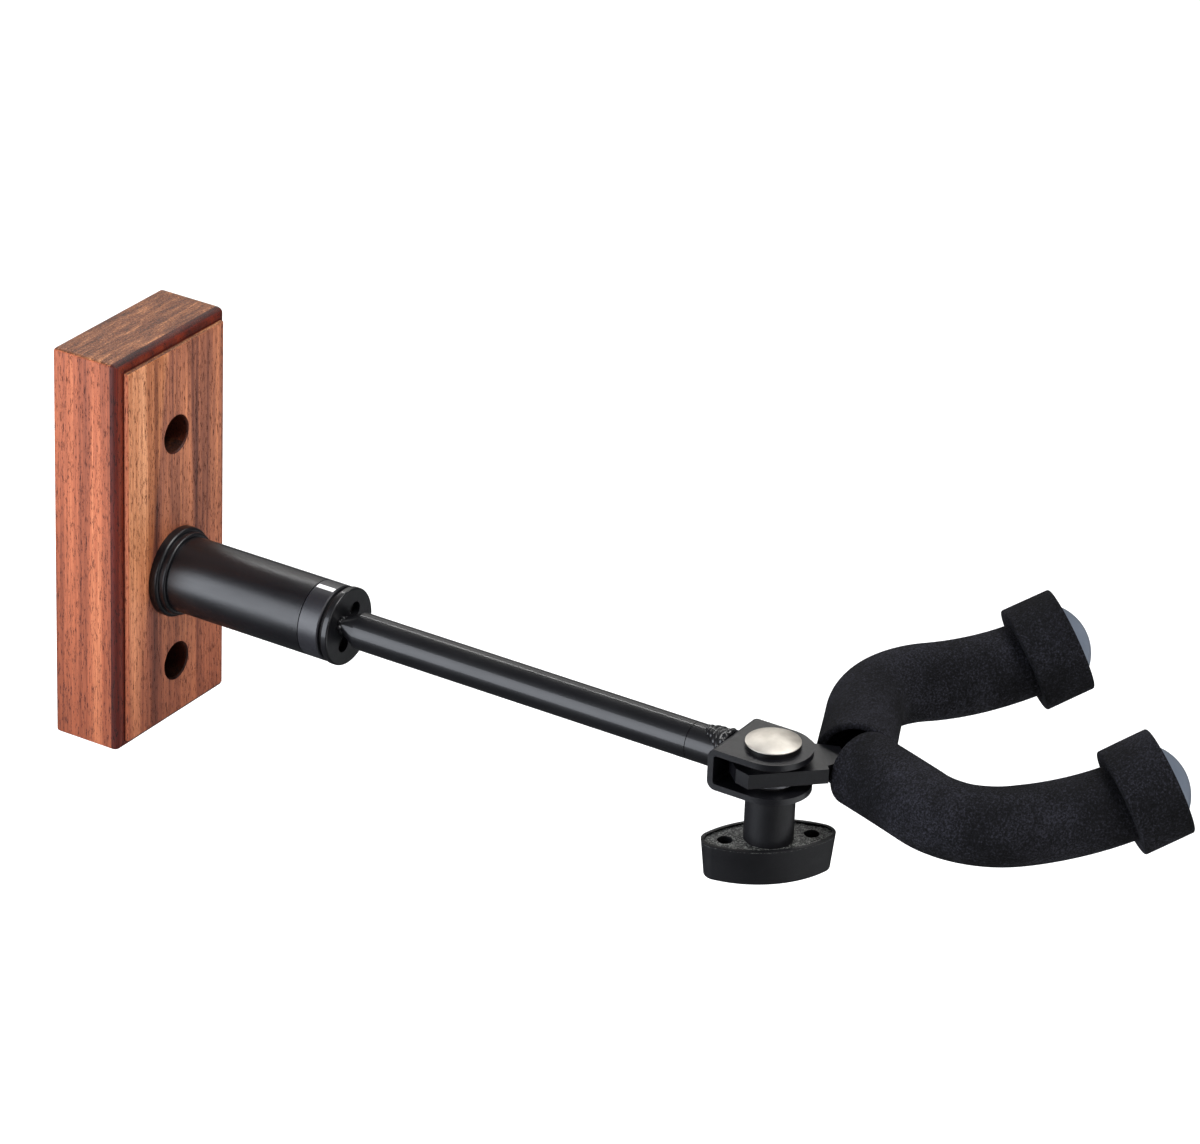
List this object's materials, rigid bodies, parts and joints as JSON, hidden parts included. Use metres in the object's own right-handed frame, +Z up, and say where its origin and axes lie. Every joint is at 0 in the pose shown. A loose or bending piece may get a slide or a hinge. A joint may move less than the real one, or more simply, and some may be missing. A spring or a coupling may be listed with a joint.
{
  "type": "wall guitar hanger",
  "caption": "Wooden wall block with a turning arm in a short barrel and a padded swivelling fork that holds a guitar by its headstock.",
  "frame": {"origin": "on the wall face of the wooden block, behind the arm's axis", "axes": "+Y into the wall, +Z up, +X to the right as seen from the room; the arm leaves the wall along -Y"},
  "size_m": [0.1591, 0.3852, 0.1405],
  "materials": {
    "walnut": "oiled, satin, vertical grain",
    "black_steel": "satin black powder coat",
    "collar_black": "satin black, a little lighter than the barrel",
    "mark_white": "bright white fill",
    "plain_steel": "turned steel",
    "zinc_steel": "zinc plated",
    "bearing_bronze": "sintered bronze",
    "black_nylon": "black nylon",
    "nickel_steel": "satin nickel plate",
    "black_washer": "blackened steel",
    "black_foam": "closed-cell foam, matt and finely pored",
    "grey_plastic": "smooth blue-grey plastic",
    "black_plastic": "moulded black plastic",
    "brass_insert": "knurled brass"
  },
  "bodies": {
    "wall_base": {"wood_block": "walnut", "base_flange": "black_steel", "barrel_tube": "black_steel", "index_collar": "collar_black", "index_mark": "mark_white", "barrel_plug": "plain_steel", "mounting_bolt": "zinc_steel", "back_washer": "zinc_steel", "spindle_bush": "bearing_bronze"},
    "arm": {"spindle": "plain_steel", "thrust_washer": "black_nylon", "flat_washers": "plain_steel", "spring_washers": "plain_steel", "lock_nut": "zinc_steel", "arm_disc": "black_steel", "arm_tube": "black_steel", "arm_ferrule": "black_steel", "clevis": "black_steel", "pivot_bolt": "nickel_steel", "head_washer": "black_washer", "friction_washers": "black_nylon", "wear_washer": "plain_steel"},
    "fork": {"fork_plate": "black_steel", "fork_rod": "black_steel", "foam_sleeve_left": "black_foam", "foam_sleeve_right": "black_foam", "foam_collar_left": "black_foam", "foam_collar_right": "black_foam", "end_cap_left": "grey_plastic", "end_cap_right": "grey_plastic"},
    "knob_washer": {"knob_washer": "black_washer"},
    "knob": {"clamp_knob": "black_plastic", "knob_insert": "brass_insert"}
  },
  "joints": [
    {"name": "arm_turn", "type": "hinge", "parent": "wall_base", "child": "arm", "pos_m": [0, -0.1, 0], "axis": [0, -1, 0], "continuous": true},
    {"name": "fork_swivel", "type": "hinge", "parent": "arm", "child": "fork", "pos_m": [0, -0.2581, 0], "axis": [0, 0, 1], "range_deg": [-146.8, 53.2]},
    {"name": "knob_travel", "type": "slide", "parent": "arm", "child": "knob_washer", "axis": [0, 0, -1], "range_m": [0, 0.0025]},
    {"name": "knob_turn", "type": "hinge", "parent": "knob_washer", "child": "knob", "pos_m": [0, -0.2581, 0], "axis": [0, 0, -1], "range_deg": [0, 721]}
  ],
  "couplings": [
    {"joint": "knob_turn", "follows": "knob_travel", "rad_per_m": 5026.5}
  ]
}
